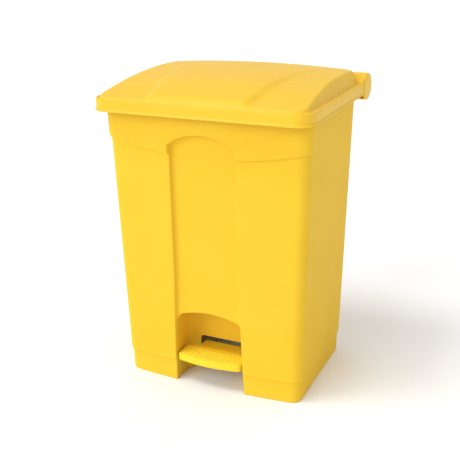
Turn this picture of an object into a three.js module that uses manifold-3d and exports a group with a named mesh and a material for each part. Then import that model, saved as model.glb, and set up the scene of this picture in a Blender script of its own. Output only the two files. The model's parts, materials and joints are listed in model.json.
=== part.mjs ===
// A free-standing pedal bin of about 68 litres: a tapered plastic body with a domed lid that swings on two
// steel pins behind it, and a pedal whose steel lever lifts the lid through a push rod up the back.
// Millimetres, +Z up, -Y is the front. The origin is on the floor, at the centre of the overall box.
import * as THREE from "three";
import { mergeVertices } from "three/addons/utils/BufferGeometryUtils.js";
import Module from "manifold-3d";

const wasm = await Module();
wasm.setup();

// ---- Driving dimensions ----

const WALL = 4; // body wall thickness

// Body: half width, front and rear at the floor, and how far each moves out by TAPER_HEIGHT.
const BODY_HALF = 206;
const BODY_FRONT = -154;
const BODY_REAR = 128.5;
const TAPER_HEIGHT = 620;
const TAPER_HALF = 15;
const TAPER_FRONT = -10.3;
const TAPER_REAR = 12;
const BODY_CORNER = 22;
const BODY_BOW = 12; // how far the front bulges at its middle
const BODY_TOP = 625;
const PLINTH_HEIGHT = 49;
const PLINTH_INSET = 3;
const FLOOR_UNDER = 84; // underside of the bin's floor
const FLANGE_HALF = 229.5;
const FLANGE_FRONT = -198;
const FLANGE_REAR = 142;
const FLANGE_THICK = 5;

// The band under the lid, whose lower edge is a shallow smile.
const BAND_OUT = 4.5;
const BAND_LOW = 519; // lower edge at the middle
const BAND_RISE = 22; // how much higher it is at BAND_SPAN from the middle
const BAND_SPAN = 207;

// The arched recess down the front, which runs into the foot niche.
const RECESS_TOP_HALF = 71;
const RECESS_KNEE_HALF = 73;
const RECESS_KNEE = 250;
const RECESS_FOOT_HALF = 81;
const RECESS_SHOULDER = 542;
const RECESS_APEX = 564;
const RECESS_FLOOR_LOW = -157; // its floor's y at NICHE_SHOULDER
const RECESS_FLOOR_HIGH = -163.5; // and at RECESS_APEX

// The foot niche.
const NICHE_HALF = 75; // at its shoulder
const NICHE_SHOULDER = 148;
const NICHE_APEX = 174;
const NICHE_BACK = -85;
const NICHE_ROUND = 33;
const NOTCH_HALF = 56; // opening in its back wall for the lever
const NOTCH_TOP = 79;

// The channel up the back for the push rod.
const CHANNEL_HALF = 46;
const CHANNEL_DEEP = 10;
const REAR_NOTCH_TOP = 80;

// Lid.
const LID_WALL = 3.5;
const RIM_HALF = 233.5;
const RIM_FRONT = -202;
const RIM_REAR = 142; // where the rim ends and the hood takes over
const RIM_CORNER = 36;
const RIM_LOW = 604;
const RIM_TOP = 630;
const BEAD_OUT = 2.2;
const BEAD_HEIGHT = 4;
const DOME_HALF = 212;
const DOME_FOOT_HALF = 222;
const DOME_FRONT = -197.5;
const DOME_REAR = 150;
const DOME_CORNER = 28; // radius of its corners in plan
const DOME_CREST = 45; // y of the highest point of the dome's side edge
const DOME_EDGE_TOP = 660.5;
const DOME_EDGE_RISE = 28.5;
const DOME_CROWN = 7.7; // how much higher the middle is than the side edges
const PANEL_RISE = 7.5; // the raised panel, at its front
const PANEL_HALF = 103; // and its half width there
const PANEL_SPREAD = 0.163; // growth of that half width along y

// Lid hinge.
const HINGE_Y = 175.2;
const HINGE_Z = 618;
const HOOD_RADIUS = 29;
const HOOD_RAMP = THREE.MathUtils.degToRad(30);
const HOOD_HIGH_HALF = 200; // inside this the hood is at its full height behind the dome
const KNUCKLE_INNER = 207.5; // the lid's knuckles lie outside this
const EAR_INNER = 188;
const EAR_OUTER = 204;
const PIN_RADIUS = 4;
const PIN_HOLE = 4.5;

// Linkage. While the lid opens by LID_OPEN, the lever turns by twice LEVER_TILT and its rear arm goes up.
const LID_OPEN = THREE.MathUtils.degToRad(75);
const LEVER_Y = 0; // pivot axle
const LEVER_Z = 45;
const TOP_PIN_Y = 152.2;
const LINK_PIN_Y = 140;
const LIFT_HALF = (HINGE_Y - TOP_PIN_Y) * Math.tan(LID_OPEN / 2);
const LEVER_TILT = Math.atan(LIFT_HALF / (LINK_PIN_Y - LEVER_Y));
const LINK_PIN_Z = LEVER_Z - LIFT_HALF;
const TOP_PIN_Z = HINGE_Z - LIFT_HALF;
const ARM_X = 30; // centre of each lever arm
const ARM_THICK = 4;
const ARM_HALF_HEIGHT = 7;
const AXLE_RADIUS = 5;
const ROD_RADIUS = 4;
const LINK_PIN_RADIUS = 4;
const TOP_PIN_RADIUS = 3;
const GAP = 0.4; // running gap between a faceted shaft and its hole

// Pedal.
const PEDAL_HALF = 75;
const PEDAL_FRONT = -165; // at its corners
const PEDAL_BOW = 9;
const PEDAL_REAR = -115;
const PEDAL_ROUND = 20; // radius of its rear corners
const PEDAL_LOW = 54;
const PEDAL_TOP = 70;
const PEDAL_WALL = 3.2;
const RIBS = 5;
const RIB_PITCH = 8.6;
const RIB_HEIGHT = 1.6;
const TONGUE_HALF = 50;
const TONGUE_REAR = -74;
const TONGUE_END_TOP = 65.2; // the tongue falls towards its rear end

// Under the floor.
const BRACKET_X = 48;
const BRACKET_HALF = 5;

// ---- Materials ----

const yellow = new THREE.MeshStandardMaterial({ color: 0xffc928, roughness: 0.45, metalness: 0 });
const steel = new THREE.MeshStandardMaterial({ color: 0xb9bcc0, roughness: 0.35, metalness: 1 });
const nylon = new THREE.MeshStandardMaterial({ color: 0x2b2b2d, roughness: 0.6, metalness: 0 });

// ---- Solids ----

const bin = new THREE.Group();

// A closed three.js geometry as a manifold-3d solid.
function solid(geometry) {
  const bare = geometry.clone();
  bare.deleteAttribute("normal");
  bare.deleteAttribute("uv");
  const merged = mergeVertices(bare, 1e-4);
  return new wasm.Manifold(
    new wasm.Mesh({
      numProp: 3,
      vertProperties: merged.attributes.position.array,
      triVerts: new Uint32Array(merged.index.array),
    }),
  );
}

// Adds a solid, or a geometry, to the bin as a named mesh.
function add(name, shape, material) {
  let geometry = shape;
  if (!shape.isBufferGeometry) {
    const mesh = shape.getMesh();
    geometry = new THREE.BufferGeometry();
    geometry.setAttribute("position", new THREE.BufferAttribute(mesh.vertProperties, 3));
    geometry.setIndex(new THREE.BufferAttribute(mesh.triVerts, 1));
    geometry.computeVertexNormals();
  }
  const part = new THREE.Mesh(geometry, material);
  part.name = name;
  bin.add(part);
  return part;
}

// Moves every vertex of a geometry by a function that changes the vector it is given.
function reshape(geometry, move) {
  const position = geometry.attributes.position;
  const point = new THREE.Vector3();
  for (let i = 0; i < position.count; i++) {
    point.fromBufferAttribute(position, i);
    move(point);
    position.setXYZ(i, point.x, point.y, point.z);
  }
  return geometry;
}

function box(x0, x1, y0, y1, z0, z1) {
  const geometry = new THREE.BoxGeometry(x1 - x0, y1 - y0, z1 - z0);
  return geometry.translate((x0 + x1) / 2, (y0 + y1) / 2, (z0 + z1) / 2);
}

// A cylinder along X between x0 and x1.
function shaft(x0, x1, y, z, radius, sides = 20) {
  const geometry = new THREE.CylinderGeometry(radius, radius, x1 - x0, sides);
  return geometry.rotateZ(Math.PI / 2).translate((x0 + x1) / 2, y, z);
}

// A cylinder along Z.
function post(x, y, z0, z1, radius, sides = 20) {
  const geometry = new THREE.CylinderGeometry(radius, radius, z1 - z0, sides);
  return geometry.rotateX(Math.PI / 2).translate(x, y, (z0 + z1) / 2);
}

// An outline drawn in (x, z), extruded along Y between two depths, each a function of z.
function alongY(shape, front, back, curveSegments = 8) {
  const geometry = new THREE.ExtrudeGeometry(shape, { depth: 1, bevelEnabled: false, curveSegments });
  return reshape(geometry, (p) => {
    const [height, far] = [p.y, p.z < 0.5];
    p.set(p.x, far ? back(height) : front(height), height);
  });
}

// An outline drawn in (y, z), extruded along X between x0 and x1.
function alongX(shape, x0, x1, curveSegments = 8) {
  const geometry = new THREE.ExtrudeGeometry(shape, { depth: x1 - x0, bevelEnabled: false, curveSegments });
  return reshape(geometry, (p) => p.set(x0 + p.z, p.x, p.y));
}

// An outline drawn in (x, y), extruded along Z.
function alongZ(shape, z0, z1, curveSegments = 6) {
  const geometry = new THREE.ExtrudeGeometry(shape, { depth: z1 - z0, bevelEnabled: false, curveSegments });
  return geometry.translate(0, 0, z0);
}

// ---- Body ----

// The body's outline at the floor, moved out by `out`.
function bodyOutline(out) {
  const half = BODY_HALF + out;
  const front = BODY_FRONT - out;
  const rear = BODY_REAR + out;
  const corner = BODY_CORNER + out;
  const shape = new THREE.Shape();
  shape.moveTo(-half + corner, front);
  shape.quadraticCurveTo(0, front - 2 * BODY_BOW, half - corner, front);
  shape.absarc(half - corner, front + corner, corner, -Math.PI / 2, 0, false);
  shape.absarc(half - corner, rear - corner, corner, 0, Math.PI / 2, false);
  shape.absarc(-half + corner, rear - corner, corner, Math.PI / 2, Math.PI, false);
  shape.absarc(-half + corner, front + corner, corner, Math.PI, Math.PI * 1.5, false);
  return shape;
}

// Moves a point out as the body's walls lean.
function taper(p) {
  const share = p.z / TAPER_HEIGHT;
  p.x *= 1 + (TAPER_HALF / BODY_HALF) * share;
  p.y *= p.y < 0 ? 1 + (TAPER_FRONT / BODY_FRONT) * share : 1 + (TAPER_REAR / BODY_REAR) * share;
}

function bodyBlock(out, z0, z1, segments = 4) {
  return solid(reshape(alongZ(bodyOutline(out), z0, z1, segments), taper));
}

// The band: a skin outside the front and its corners that fades into the sides.
function bandSkin() {
  const half = BODY_HALF + BAND_OUT;
  const front = BODY_FRONT - BAND_OUT;
  const corner = BODY_CORNER + BAND_OUT;
  const fadeY = BODY_FRONT + 95;
  const shape = new THREE.Shape();
  shape.moveTo(-half + corner, front);
  shape.quadraticCurveTo(0, front - 2 * BODY_BOW, half - corner, front);
  shape.absarc(half - corner, front + corner, corner, -Math.PI / 2, 0, false);
  shape.lineTo(BODY_HALF - 0.5, fadeY);
  shape.lineTo(-BODY_HALF + 0.5, fadeY);
  shape.lineTo(-half, front + corner);
  shape.absarc(-half + corner, front + corner, corner, Math.PI, Math.PI * 1.5, false);
  const skin = solid(reshape(alongZ(shape, BAND_LOW - 15, BODY_TOP - 1, 4), taper));

  const reach = BODY_HALF + 40;
  const ends = BAND_LOW + BAND_RISE * (reach / BAND_SPAN) ** 2;
  const under = new THREE.Shape();
  under.moveTo(-reach, BAND_LOW - 40);
  under.lineTo(reach, BAND_LOW - 40);
  under.lineTo(reach, ends);
  under.quadraticCurveTo(0, 2 * BAND_LOW - ends, -reach, ends);
  return skin.subtract(solid(alongY(under, () => BODY_FRONT - 60, () => BODY_FRONT + 110)));
}

// The arched recess as an outline in (x, z), moved out by `out`.
function recessOutline(out) {
  const top = RECESS_TOP_HALF + out;
  const rise = RECESS_APEX - RECESS_SHOULDER;
  const radius = (top * top + rise * rise) / (2 * rise);
  const half = Math.asin(top / radius);
  const shape = new THREE.Shape();
  shape.moveTo(-RECESS_FOOT_HALF - out, -5);
  shape.lineTo(RECESS_FOOT_HALF + out, -5);
  shape.lineTo(RECESS_KNEE_HALF + out, RECESS_KNEE);
  shape.lineTo(top, RECESS_SHOULDER + out);
  shape.absarc(0, RECESS_APEX + out - radius, radius, Math.PI / 2 - half, Math.PI / 2 + half, false);
  shape.lineTo(-RECESS_KNEE_HALF - out, RECESS_KNEE);
  return shape;
}

function recessFloor(z) {
  const share = (z - NICHE_SHOULDER) / (RECESS_APEX - NICHE_SHOULDER);
  return THREE.MathUtils.lerp(RECESS_FLOOR_LOW, RECESS_FLOOR_HIGH, share);
}

function recess(out) {
  return solid(alongY(recessOutline(out), () => BODY_FRONT - 60, (z) => recessFloor(z) + out, 6));
}

// The niche's mouth as an outline in (x, z): an arched top with round shoulders.
function nicheOutline(out) {
  const half = NICHE_HALF + out;
  const springing = NICHE_SHOULDER + out;
  const haunchX = NICHE_HALF - 15;
  const haunchZ = 165 + out;
  const shape = new THREE.Shape();
  shape.moveTo(-RECESS_FOOT_HALF - out, -5);
  shape.lineTo(RECESS_FOOT_HALF + out, -5);
  shape.lineTo(half, springing);
  shape.quadraticCurveTo(half, springing + 16, haunchX, haunchZ);
  shape.quadraticCurveTo(0, 2 * (NICHE_APEX + out) - haunchZ, -haunchX, haunchZ);
  shape.quadraticCurveTo(-half, springing + 16, -half, springing);
  return shape;
}

// The niche is that outline pushed into the body, rounded off towards its back wall.
function niche(out) {
  const steps = 8;
  const front = BODY_FRONT - 60;
  const back = NICHE_BACK + out;
  const round = NICHE_ROUND + out;
  const geometry = new THREE.ExtrudeGeometry(nicheOutline(out), {
    depth: steps,
    steps,
    bevelEnabled: false,
    curveSegments: 5,
  });
  return solid(
    reshape(geometry, (p) => {
      const turn = (Math.PI / 2) * Math.max(0, (steps - 1 - p.z) / (steps - 1));
      const y = p.z > steps - 0.5 ? front : back - round + round * Math.sin(turn);
      const inset = p.z > steps - 0.5 ? 0 : round * (1 - Math.cos(turn)) * 0.96;
      const height = p.y;
      const x = p.x - Math.sign(p.x) * Math.min(inset, Math.abs(p.x));
      p.set(x, y, height > NICHE_SHOULDER - 30 ? height - inset * 0.8 : height);
    }),
  );
}

function bodyShell() {
  const channelY = (z) => BODY_REAR + (TAPER_REAR * z) / TAPER_HEIGHT - CHANNEL_DEEP;
  const channelShape = (out) => {
    const shape = new THREE.Shape();
    shape.moveTo(-CHANNEL_HALF - out, PLINTH_HEIGHT);
    shape.lineTo(CHANNEL_HALF + out, PLINTH_HEIGHT);
    shape.lineTo(CHANNEL_HALF + out, BODY_TOP + 5);
    shape.lineTo(-CHANNEL_HALF - out, BODY_TOP + 5);
    return shape;
  };
  const channel = (out) => solid(alongY(channelShape(out), (z) => channelY(z) - out, () => BODY_REAR + 60));

  let outside = bodyBlock(0, PLINTH_HEIGHT, BODY_TOP);
  outside = outside.add(bodyBlock(-PLINTH_INSET, 0, PLINTH_HEIGHT + 1));
  outside = outside.add(bandSkin());
  outside = outside.add(rimFlange());
  outside = outside.subtract(recess(0));
  outside = outside.subtract(niche(0));

  let inside = bodyBlock(-WALL, FLOOR_UNDER + WALL, BODY_TOP + 5);
  inside = inside.subtract(recess(WALL)).subtract(niche(WALL)).subtract(channel(WALL));
  let under = bodyBlock(-PLINTH_INSET - WALL, -5, FLOOR_UNDER);
  under = under.subtract(niche(WALL)).subtract(channel(WALL));

  let shell = outside.subtract(inside).subtract(under).subtract(channel(0));
  const frontNotch = box(-NOTCH_HALF, NOTCH_HALF, NICHE_BACK - 40, NICHE_BACK + 20, -5, NOTCH_TOP);
  const notchY = BODY_REAR - CHANNEL_DEEP - WALL - 10;
  const rearNotch = box(-CHANNEL_HALF, CHANNEL_HALF, notchY, notchY + 60, -5, REAR_NOTCH_TOP);
  shell = shell.subtract(solid(frontNotch)).subtract(solid(rearNotch));
  for (const side of [-1, 1]) shell = shell.add(hingeEar(side));
  return shell;
}

// The flat flange round the top, under the lid.
function rimFlange() {
  const corner = 34;
  const shape = new THREE.Shape();
  shape.moveTo(-FLANGE_HALF + corner, FLANGE_FRONT);
  shape.absarc(FLANGE_HALF - corner, FLANGE_FRONT + corner, corner, -Math.PI / 2, 0, false);
  shape.lineTo(FLANGE_HALF, FLANGE_REAR);
  shape.lineTo(-FLANGE_HALF, FLANGE_REAR);
  shape.absarc(-FLANGE_HALF + corner, FLANGE_FRONT + corner, corner, Math.PI, Math.PI * 1.5, false);
  return solid(alongZ(shape, BODY_TOP - FLANGE_THICK, BODY_TOP, 4));
}

// An ear on the back of the body that holds a hinge pin.
function hingeEar(side) {
  const root = BODY_REAR + (TAPER_REAR * HINGE_Z) / TAPER_HEIGHT - 2;
  const eye = 10;
  const shape = new THREE.Shape();
  shape.moveTo(root, HINGE_Z - 34);
  shape.lineTo(HINGE_Y - eye * 0.5, HINGE_Z - eye * 0.87);
  shape.absarc(HINGE_Y, HINGE_Z, eye, -Math.PI * 0.67, Math.PI / 2, false);
  shape.lineTo(root, HINGE_Z + eye * 0.7);
  const [x0, x1] = side > 0 ? [EAR_INNER, EAR_OUTER] : [-EAR_OUTER, -EAR_INNER];
  return solid(alongX(shape, x0, x1, 6)).subtract(solid(shaft(x0 - 1, x1 + 1, HINGE_Y, HINGE_Z, PIN_HOLE)));
}

// ---- Lid ----

const smooth = THREE.MathUtils.smoothstep;

// Height of the lid's top over (x, y).
function domeTop(x, y) {
  const edge = DOME_EDGE_TOP - DOME_EDGE_RISE * ((y - DOME_CREST) / (DOME_CREST - DOME_FRONT)) ** 2;
  const crown = DOME_CROWN * smooth(y, DOME_FRONT, DOME_FRONT + 110) * (1 - (x / DOME_HALF) ** 2);
  const half = PANEL_HALF + PANEL_SPREAD * (y - DOME_FRONT);
  const fade = 1 - (0.87 * (y - DOME_FRONT)) / 272;
  const panel = PANEL_RISE * Math.max(0, fade) * smooth(y, DOME_FRONT, DOME_FRONT + 15);
  return edge + crown + panel * (1 - smooth(Math.abs(x), half - 4, half + 4));
}

// A block whose top is the dome, moved in by `inset` on every side.
function domeBlock(inset) {
  const rows = [0, 0.02, 0.045, 0.11, 0.22, 0.34, 0.46, 0.58, 0.7, 0.82, 0.93, 1];
  const columns = 12;
  const geometry = new THREE.BoxGeometry(columns, rows.length - 1, 1, columns, rows.length - 1, 1);
  const front = DOME_FRONT + inset;
  const rear = DOME_REAR - inset;
  return solid(
    reshape(geometry, (p) => {
      const isTop = p.z > 0;
      const row = rows[Math.round(p.y + (rows.length - 1) / 2)];
      const y = THREE.MathUtils.lerp(front + (isTop ? 1.5 : 0), rear - (isTop ? 2 : 0), row);
      const half = PANEL_HALF + PANEL_SPREAD * (y - DOME_FRONT);
      const pastCorner = Math.max(0, DOME_CORNER - Math.min(y - front, rear - y));
      const rounding = DOME_CORNER - Math.sqrt(DOME_CORNER ** 2 - pastCorner ** 2);
      const edge = (isTop ? DOME_HALF : DOME_FOOT_HALF) - inset - rounding;
      const stations = [0, half * 0.5, half - 4, half + 4, (half + edge) / 2 + 2, edge - 8, edge];
      const column = Math.round(p.x);
      const x = Math.sign(column) * stations[Math.abs(column)];
      p.set(x, y, isTop ? domeTop(x, y) - inset : RIM_TOP - 12);
    }),
  );
}

// The lid's side view behind its front rim, in (y, z), with the hood that rounds the hinge. At the lid's
// ends the ledge is level and then ramps up to the hood. Under the dome it climbs all the way.
function hoodOutline(inset, atEnds) {
  const radius = HOOD_RADIUS - inset;
  const ledge = RIM_TOP - inset;
  const lip = THREE.MathUtils.degToRad(-115);
  const start = atEnds ? Math.PI / 2 + HOOD_RAMP : Math.PI / 2;
  const shape = new THREE.Shape();
  shape.moveTo(-10, RIM_LOW - (inset ? 2 : 0));
  shape.lineTo(-10, ledge);
  if (atEnds) {
    const climb = HINGE_Z + radius * Math.sin(start) - ledge;
    shape.lineTo(HINGE_Y + radius * Math.cos(start) - climb / Math.tan(HOOD_RAMP), ledge);
  } else {
    shape.lineTo(RIM_REAR + 1, HINGE_Z + radius);
  }
  shape.absarc(HINGE_Y, HINGE_Z, radius, start, lip, true);
  if (inset) shape.lineTo(HINGE_Y - 26, HINGE_Z - 40);
  shape.lineTo(HINGE_Y - 30, RIM_LOW - (inset ? 2 : 0));
  return shape;
}

// The hood over the lid's whole width, moved in by `inset`.
function hood(inset) {
  const half = RIM_HALF - inset;
  const highHalf = HOOD_HIGH_HALF - inset;
  const ends = solid(alongX(hoodOutline(inset, true), -half, half));
  return ends.add(solid(alongX(hoodOutline(inset, false), -highHalf, highHalf)));
}

// The rim's outline in plan, moved in by `inset`.
function rimOutline(inset) {
  const half = RIM_HALF - inset;
  const front = RIM_FRONT + inset;
  const corner = RIM_CORNER - inset;
  const shape = new THREE.Shape();
  shape.moveTo(half, RIM_REAR);
  shape.lineTo(-half, RIM_REAR);
  shape.absarc(-half + corner, front + corner, corner, Math.PI, Math.PI * 1.5, false);
  shape.absarc(half - corner, front + corner, corner, -Math.PI / 2, 0, false);
  return shape;
}

function lidShell() {
  let shell = solid(alongZ(rimOutline(0), RIM_LOW, RIM_TOP, 4));
  shell = shell.add(solid(alongZ(rimOutline(-BEAD_OUT), RIM_LOW, RIM_LOW + BEAD_HEIGHT, 4)));
  shell = shell.add(domeBlock(0)).add(hood(0));

  let hollow = solid(alongZ(rimOutline(LID_WALL), RIM_LOW - 3, RIM_TOP - LID_WALL, 4));
  hollow = hollow.add(domeBlock(LID_WALL)).add(hood(LID_WALL));
  shell = shell.subtract(hollow);
  // Between the knuckles the hood stops level with the rim.
  const below = box(-KNUCKLE_INNER, KNUCKLE_INNER, RIM_REAR, HINGE_Y + 60, RIM_LOW - 30, RIM_LOW);
  shell = shell.subtract(solid(below));

  for (const side of [-1, 1]) {
    const [x0, x1] = side > 0 ? [KNUCKLE_INNER, RIM_HALF - 1] : [1 - RIM_HALF, -KNUCKLE_INNER];
    const [h0, h1] = side > 0 ? [KNUCKLE_INNER - 1, 229] : [-229, 1 - KNUCKLE_INNER];
    shell = shell.add(solid(shaft(x0, x1, HINGE_Y, HINGE_Z, 9)));
    shell = shell.subtract(solid(shaft(h0, h1, HINGE_Y, HINGE_Z, PIN_HOLE)));
  }
  return shell;
}

function hingePin(side) {
  const [x0, x1] = side > 0 ? [EAR_INNER - 3, 228] : [-228, 3 - EAR_INNER];
  return shaft(x0, x1, HINGE_Y, HINGE_Z, PIN_RADIUS);
}

// ---- Linkage ----

// A pan-head screw along Z whose head's flat side is at z, with the shank going up.
function screw(x, y, z, length, radius = 2) {
  const head = post(x, y, z - 2.2, z, radius * 2, 12);
  return solid(head).add(solid(post(x, y, z - 1, z + length, radius, 10)));
}

// A push-on retaining ring round a pin along X.
function clip(x, y, z, pinRadius, thick = 1.6) {
  const ring = solid(shaft(x - thick / 2, x + thick / 2, y, z, pinRadius + 4, 16));
  return ring.subtract(solid(shaft(x - thick, x + thick, y, z, pinRadius + GAP, 16)));
}

// The steel bracket under the lid whose two slotted cheeks hold the push rod's top pin.
function lidBracket() {
  const roof = HINGE_Z + HOOD_RADIUS - LID_WALL - 0.4;
  const plate = 2.5;
  const cheekX = 10;
  const slotIn = HINGE_Y - TOP_PIN_Y - 2;
  const slotOut = (HINGE_Y - TOP_PIN_Y) / Math.cos(LID_OPEN / 2) + 1.2;
  const slotHalf = TOP_PIN_RADIUS + 1.6;
  const wall = 3;
  const down = Math.PI + LID_OPEN / 2;
  const at = (along, across) => [
    HINGE_Y + along * Math.cos(down) - across * Math.sin(down),
    HINGE_Z + along * Math.sin(down) + across * Math.cos(down),
  ];
  const stadium = (shape, half) => {
    shape.moveTo(...at(slotIn, half));
    shape.absarc(...at(slotIn, 0), half, down + Math.PI / 2, down + Math.PI * 1.5, false);
    shape.absarc(...at(slotOut, 0), half, down - Math.PI / 2, down + Math.PI / 2, false);
    return shape;
  };
  const cheek = new THREE.Shape();
  cheek.moveTo(HINGE_Y - 2, roof - plate / 2);
  cheek.lineTo(HINGE_Y - 24, roof - plate / 2);
  cheek.lineTo(...at(slotOut, -slotHalf - wall));
  cheek.absarc(...at(slotOut, 0), slotHalf + wall, down - Math.PI / 2, down + Math.PI / 2, false);
  cheek.lineTo(...at(slotIn - 4, slotHalf + wall));
  const slot = stadium(new THREE.Shape(), slotHalf);
  let bracket = solid(box(-26, 26, HINGE_Y - 26, HINGE_Y - 2, roof - plate, roof));
  for (const side of [-1, 1]) {
    const x0 = side * cheekX - plate / 2;
    bracket = bracket.add(solid(alongX(cheek, x0, x0 + plate, 5)));
    bracket = bracket.subtract(solid(alongX(slot, x0 - 1, x0 + plate + 1, 5)));
    bracket = bracket.subtract(solid(post(side * 19, HINGE_Y - 14, roof - 5, roof + 5, 2.5, 12)));
  }
  return bracket;
}

// The push rod's y at height z: it leans back with the body's rear wall.
function rodY(z) {
  return THREE.MathUtils.mapLinear(z, LINK_PIN_Z, TOP_PIN_Z, LINK_PIN_Y, TOP_PIN_Y);
}

// The push rod: a round steel rod with an eye round each pin.
function pushRod() {
  const eye = (y, z, radius, hole) => {
    const ring = solid(shaft(-5, 5, y, z, radius));
    return ring.subtract(solid(shaft(-6, 6, y, z, hole)));
  };
  const upright = post(0, 0, LINK_PIN_Z + 7, TOP_PIN_Z - 5, ROD_RADIUS, 16);
  const bar = solid(reshape(upright, (p) => p.setY(p.y + rodY(p.z))));
  const low = eye(LINK_PIN_Y, LINK_PIN_Z, 9.5, LINK_PIN_RADIUS + GAP);
  return bar.add(low).add(eye(TOP_PIN_Y, TOP_PIN_Z, 7, TOP_PIN_RADIUS + GAP));
}

// A nylon sleeve on the link pin, between the push rod's eye and a lever arm.
function linkSpacer(side) {
  const middle = side * 16.5;
  const sleeve = solid(shaft(middle - 10.5, middle + 10.5, LINK_PIN_Y, LINK_PIN_Z, 7, 16));
  const bore = shaft(middle - 12, middle + 12, LINK_PIN_Y, LINK_PIN_Z, LINK_PIN_RADIUS + GAP);
  return sleeve.subtract(solid(bore));
}

// A guide on the channel's floor that the push rod slides through.
function rodGuide(z) {
  const wallY = BODY_REAR + (TAPER_REAR * z) / TAPER_HEIGHT - CHANNEL_DEEP + 0.8;
  const half = 8;
  const tall = 7;
  const shape = new THREE.Shape();
  shape.moveTo(-half, wallY + 4);
  shape.lineTo(half, wallY + 4);
  shape.absarc(0, rodY(z) + 1, half, 0, Math.PI, false);
  const hole = new THREE.Shape();
  const slack = ROD_RADIUS + 0.8;
  hole.absarc(0, rodY(z) - 1, slack, Math.PI, Math.PI * 2, false);
  hole.absarc(0, rodY(z) + 1.5, slack, 0, Math.PI, false);
  let guide = solid(alongZ(shape, z - tall, z + tall));
  guide = guide.add(solid(box(-22, 22, wallY, wallY + 5, z - tall, z + tall)));
  guide = guide.subtract(solid(alongZ(hole, z - tall - 1, z + tall + 1)));
  for (const side of [-1, 1]) {
    const bore = new THREE.CylinderGeometry(2.6, 2.6, 20, 12).translate(side * 15.5, wallY, z);
    guide = guide.subtract(solid(bore));
  }
  return { guide, screwY: wallY + 5 };
}

// A screw along Y whose head lies on y and whose shank goes forward.
function guideScrew(x, y, z) {
  const head = new THREE.CylinderGeometry(4, 4, 2.2, 12).translate(x, y + 1.5, z);
  const shank = new THREE.CylinderGeometry(2, 2, 5.8, 10).translate(x, y - 1.9, z);
  return solid(head).add(solid(shank));
}

// The lever frame: two bent steel arms and the plate across them that carries the pedal.
function leverFrame() {
  const tan = Math.tan(LEVER_TILT);
  const kneeY = -92;
  const kneeZ = LEVER_Z + (LEVER_Y - kneeY) * tan - 1;
  const tip = -158;
  const half = ARM_HALF_HEIGHT;
  const front = half - 2;
  const lineZ = (y) => LEVER_Z - (y - LEVER_Y) * tan;
  const shape = new THREE.Shape();
  shape.moveTo(tip, kneeZ - front);
  shape.lineTo(kneeY, kneeZ - front);
  shape.absarc(LINK_PIN_Y, LINK_PIN_Z, half, -Math.PI / 2, Math.PI / 2, false);
  shape.lineTo(LEVER_Y, lineZ(LEVER_Y) + half + 2);
  shape.lineTo(kneeY, kneeZ + front);
  shape.lineTo(tip, kneeZ + front);
  let frame = solid(box(-ARM_X - 12, ARM_X + 12, tip, -100, kneeZ + front - 1, kneeZ + front + 1.6));
  for (const side of [-1, 1]) {
    const x0 = side * ARM_X - ARM_THICK / 2;
    const x1 = x0 + ARM_THICK;
    frame = frame.add(solid(alongX(shape, x0, x1, 6)));
    frame = frame.subtract(solid(shaft(x0 - 1, x1 + 1, LEVER_Y, LEVER_Z, AXLE_RADIUS + GAP)));
    frame = frame.subtract(solid(shaft(x0 - 1, x1 + 1, LINK_PIN_Y, LINK_PIN_Z, LINK_PIN_RADIUS + GAP)));
    for (const y of [-150, -110]) frame = frame.subtract(solid(post(side * 38, y, 50, 80, 2.6, 12)));
  }
  return { frame, plateTop: kneeZ + front + 1.6, plateLow: kneeZ + front - 1 };
}

// The pedal's outline in plan, moved in by `inset`.
function pedalOutline(inset) {
  const half = PEDAL_HALF - inset;
  const front = PEDAL_FRONT + inset;
  const rear = PEDAL_REAR - inset;
  const corner = 12 - inset;
  const round = PEDAL_ROUND - inset;
  const shape = new THREE.Shape();
  shape.moveTo(half, rear - round);
  shape.absarc(half - round, rear - round, round, 0, Math.PI / 2, false);
  shape.absarc(-half + round, rear - round, round, Math.PI / 2, Math.PI, false);
  shape.absarc(-half + corner, front + corner, corner, Math.PI, Math.PI * 1.5, false);
  shape.quadraticCurveTo(0, front - 2 * PEDAL_BOW, half - corner, front);
  shape.absarc(half - corner, front + corner, corner, -Math.PI / 2, 0, false);
  return shape;
}

// The pedal: a hollow tread with low ribs across it and a tongue that runs into the niche's notch.
function pedalTread(plateTop) {
  const under = plateTop + 0.4;
  let tread = solid(alongZ(pedalOutline(0), PEDAL_LOW, PEDAL_TOP, 5));
  const tongue = new THREE.Shape();
  tongue.moveTo(PEDAL_REAR - 5, under);
  tongue.lineTo(TONGUE_REAR, under);
  tongue.lineTo(TONGUE_REAR, TONGUE_END_TOP);
  tongue.lineTo(TONGUE_REAR - 14, TONGUE_END_TOP);
  tongue.lineTo(PEDAL_REAR - 5, PEDAL_TOP - 1.2);
  tread = tread.add(solid(alongX(tongue, -TONGUE_HALF, TONGUE_HALF)));
  tread = tread.subtract(solid(alongZ(pedalOutline(PEDAL_WALL), PEDAL_LOW - 2, under, 5)));
  const slot = box(-ARM_X - 14, ARM_X + 14, PEDAL_REAR - 8, PEDAL_REAR + 5, PEDAL_LOW - 2, under);
  tread = tread.subtract(solid(slot));
  for (let i = 0; i < RIBS; i++) {
    const y = PEDAL_FRONT + 5 + i * RIB_PITCH;
    const half = PEDAL_HALF - 9;
    tread = tread.add(solid(box(-half, half, y - 1.7, y + 1.7, PEDAL_TOP - 0.5, PEDAL_TOP + RIB_HEIGHT)));
  }
  for (const x of [-38, 38]) {
    for (const y of [-150, -110]) tread = tread.subtract(solid(post(x, y, 50, PEDAL_TOP - 1.5, 2.4, 12)));
  }
  return tread;
}

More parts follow.
